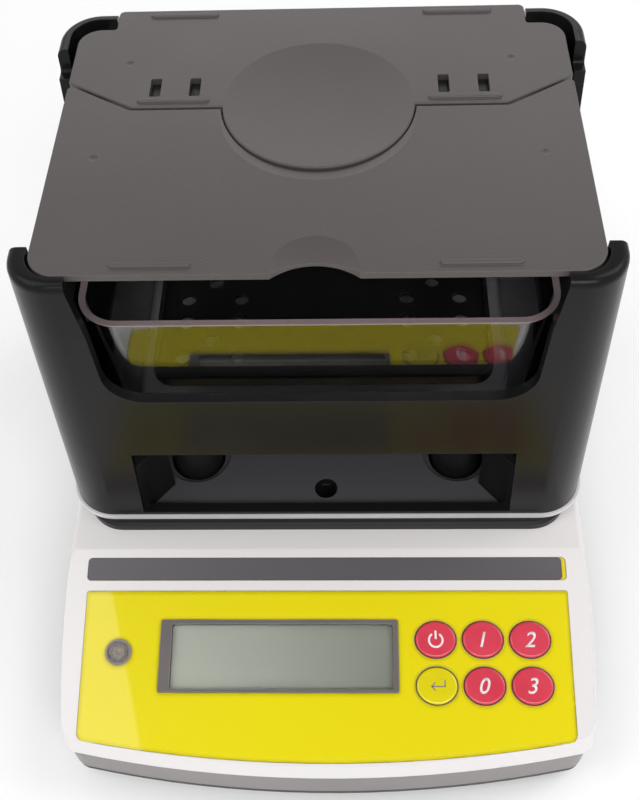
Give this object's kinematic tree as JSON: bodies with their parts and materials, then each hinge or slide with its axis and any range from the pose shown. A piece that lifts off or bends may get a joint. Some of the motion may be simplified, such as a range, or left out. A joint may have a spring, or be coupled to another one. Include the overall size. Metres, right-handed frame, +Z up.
{
  "type": "electronic gold tester",
  "caption": "Counter instrument that weighs gold in air and in water: sloped keypad base, black stand shell with a clear water tank and a two-piece top plate.",
  "frame": {"origin": "centre of the footprint, on the table", "axes": "+X to the user's right, +Y to the rear, +Z up; the keypad faces -Y"},
  "size_m": [0.204, 0.242, 0.187],
  "materials": {
    "white_abs": "pearl white moulded ABS, fine satin gloss",
    "grey_abs": "grey moulded ABS",
    "dark_abs": "dark grey moulded ABS",
    "yellow_sheet": "glossy yellow printed polycarbonate sheet",
    "grey_sheet": "grey printed sheet",
    "bezel_dark": "dark textured frame",
    "clear_window": "clear acrylic window",
    "lcd": "grey-green liquid crystal glass",
    "backlight": "white light guide",
    "board_green": "green circuit board",
    "component_black": "black component housings",
    "steel_small": "zinc plated steel",
    "vial_metal": "spun aluminium cup",
    "vial_green": "yellow-green spirit liquid",
    "key_red": "red translucent key cap",
    "key_yellow": "yellow key cap",
    "black_shell": "black moulded ABS, fine grain",
    "platform_black": "black moulded ABS, fine grain",
    "trim_silver": "thin bright trim",
    "clear_tank": "clear moulded acrylic",
    "rubber_black": "black rubber",
    "aluminium_bare": "machined aluminium",
    "plate_black": "charcoal moulded plate with fine grain",
    "frame_black": "black moulded plastic",
    "brass_bush": "turned brass"
  },
  "bodies": {
    "tester": {"base_pan": "dark_abs", "lower_housing": "grey_abs", "upper_housing": "white_abs", "keypad_overlay": "yellow_sheet", "strip_backing": "yellow_sheet", "front_strip": "grey_sheet", "display_bezel": "bezel_dark", "display_lens": "clear_window", "lcd_glass": "lcd", "backlight_block": "backlight", "control_board": "board_green", "tact_switches": "component_black", "board_screws": "steel_small", "vial_cup": "vial_metal", "vial_liquid": "vial_green", "vial_lens": "clear_window", "platform_plate": "platform_black", "wind_shell": "black_shell", "shell_trim": "trim_silver", "water_tank": "clear_tank", "tank_strips": "rubber_black", "load_cell": "aluminium_bare", "cell_spacer": "steel_small", "cell_screws": "steel_small", "overload_stop": "steel_small", "main_board": "board_green", "board_parts": "component_black", "power_inlet": "component_black", "data_port": "steel_small", "housing_screws": "steel_small", "shell_screws": "steel_small", "foot_bushes": "brass_bush"},
    "weigh_frame": {"load_spider": "aluminium_bare", "spider_spacer": "aluminium_bare", "spider_screws": "steel_small", "weigh_posts": "frame_black", "post_caps": "rubber_black", "carrier_frame": "frame_black"},
    "weighing_table": {"weighing_plate": "plate_black", "tray_hanger": "frame_black", "water_tray": "frame_black"},
    "cover": {"front_cover": "plate_black"},
    "key_power_body": {"key_power": "key_red"},
    "key_alloy_body": {"key_alloy": "key_red"},
    "key_unit_body": {"key_unit": "key_red"},
    "key_enter_body": {"key_enter": "key_yellow"},
    "key_zero_body": {"key_zero": "key_red"},
    "key_mode_body": {"key_mode": "key_red"},
    "pad_front_right": {"foot_pad_front_right": "rubber_black"},
    "screw_front_right": {"foot_screw_front_right": "steel_small"},
    "pad_front_left": {"foot_pad_front_left": "rubber_black"},
    "screw_front_left": {"foot_screw_front_left": "steel_small"},
    "pad_rear_right": {"foot_pad_rear_right": "rubber_black"},
    "screw_rear_right": {"foot_screw_rear_right": "steel_small"},
    "pad_rear_left": {"foot_pad_rear_left": "rubber_black"},
    "screw_rear_left": {"foot_screw_rear_left": "steel_small"}
  },
  "joints": [
    {"name": "weigh_slide", "type": "slide", "parent": "tester", "child": "weigh_frame", "axis": [0, 0, -1], "range_m": [0, 0.0004], "stiffness_N_per_m": 20000, "springref_m": -0.0002, "deforming": ["load_cell"]},
    {"name": "plate_lift", "type": "slide", "parent": "weigh_frame", "child": "weighing_table", "axis": [0, 0, 1], "range_m": [0, 0.06]},
    {"name": "cover_lift", "type": "slide", "parent": "tester", "child": "cover", "axis": [0, 0, 1], "range_m": [0, 0.06]},
    {"name": "key_power_press", "type": "slide", "parent": "tester", "child": "key_power_body", "axis": [0, 0.2419, -0.9703], "range_m": [0, 0.00045], "stiffness_N_per_m": 2000, "springref_m": -0.0002},
    {"name": "key_alloy_press", "type": "slide", "parent": "tester", "child": "key_alloy_body", "axis": [0, 0.2419, -0.9703], "range_m": [0, 0.00045], "stiffness_N_per_m": 2000, "springref_m": -0.0002},
    {"name": "key_unit_press", "type": "slide", "parent": "tester", "child": "key_unit_body", "axis": [0, 0.2419, -0.9703], "range_m": [0, 0.00045], "stiffness_N_per_m": 2000, "springref_m": -0.0002},
    {"name": "key_enter_press", "type": "slide", "parent": "tester", "child": "key_enter_body", "axis": [0, 0.2419, -0.9703], "range_m": [0, 0.00045], "stiffness_N_per_m": 2000, "springref_m": -0.0002},
    {"name": "key_zero_press", "type": "slide", "parent": "tester", "child": "key_zero_body", "axis": [0, 0.2419, -0.9703], "range_m": [0, 0.00045], "stiffness_N_per_m": 2000, "springref_m": -0.0002},
    {"name": "key_mode_press", "type": "slide", "parent": "tester", "child": "key_mode_body", "axis": [0, 0.2419, -0.9703], "range_m": [0, 0.00045], "stiffness_N_per_m": 2000, "springref_m": -0.0002},
    {"name": "foot_slide_front_right", "type": "slide", "parent": "tester", "child": "pad_front_right", "axis": [0, 0, -1], "range_m": [0, 0.004]},
    {"name": "foot_turn_front_right", "type": "hinge", "parent": "pad_front_right", "child": "screw_front_right", "pos_m": [0.081, -0.086, 0.01], "axis": [0, 0, -1], "range_deg": [0, 1440]},
    {"name": "foot_slide_front_left", "type": "slide", "parent": "tester", "child": "pad_front_left", "axis": [0, 0, -1], "range_m": [0, 0.004]},
    {"name": "foot_turn_front_left", "type": "hinge", "parent": "pad_front_left", "child": "screw_front_left", "pos_m": [-0.081, -0.086, 0.01], "axis": [0, 0, -1], "range_deg": [0, 1440]},
    {"name": "foot_slide_rear_right", "type": "slide", "parent": "tester", "child": "pad_rear_right", "axis": [0, 0, -1], "range_m": [0, 0.004]},
    {"name": "foot_turn_rear_right", "type": "hinge", "parent": "pad_rear_right", "child": "screw_rear_right", "pos_m": [0.081, 0.098, 0.01], "axis": [0, 0, -1], "range_deg": [0, 1440]},
    {"name": "foot_slide_rear_left", "type": "slide", "parent": "tester", "child": "pad_rear_left", "axis": [0, 0, -1], "range_m": [0, 0.004]},
    {"name": "foot_turn_rear_left", "type": "hinge", "parent": "pad_rear_left", "child": "screw_rear_left", "pos_m": [-0.081, 0.098, 0.01], "axis": [0, 0, -1], "range_deg": [0, 1440]}
  ],
  "couplings": [
    {"joint": "foot_turn_front_right", "follows": "foot_slide_front_right", "rad_per_m": 6283.2},
    {"joint": "foot_turn_front_left", "follows": "foot_slide_front_left", "rad_per_m": 6283.2},
    {"joint": "foot_turn_rear_right", "follows": "foot_slide_rear_right", "rad_per_m": 6283.2},
    {"joint": "foot_turn_rear_left", "follows": "foot_slide_rear_left", "rad_per_m": 6283.2}
  ]
}
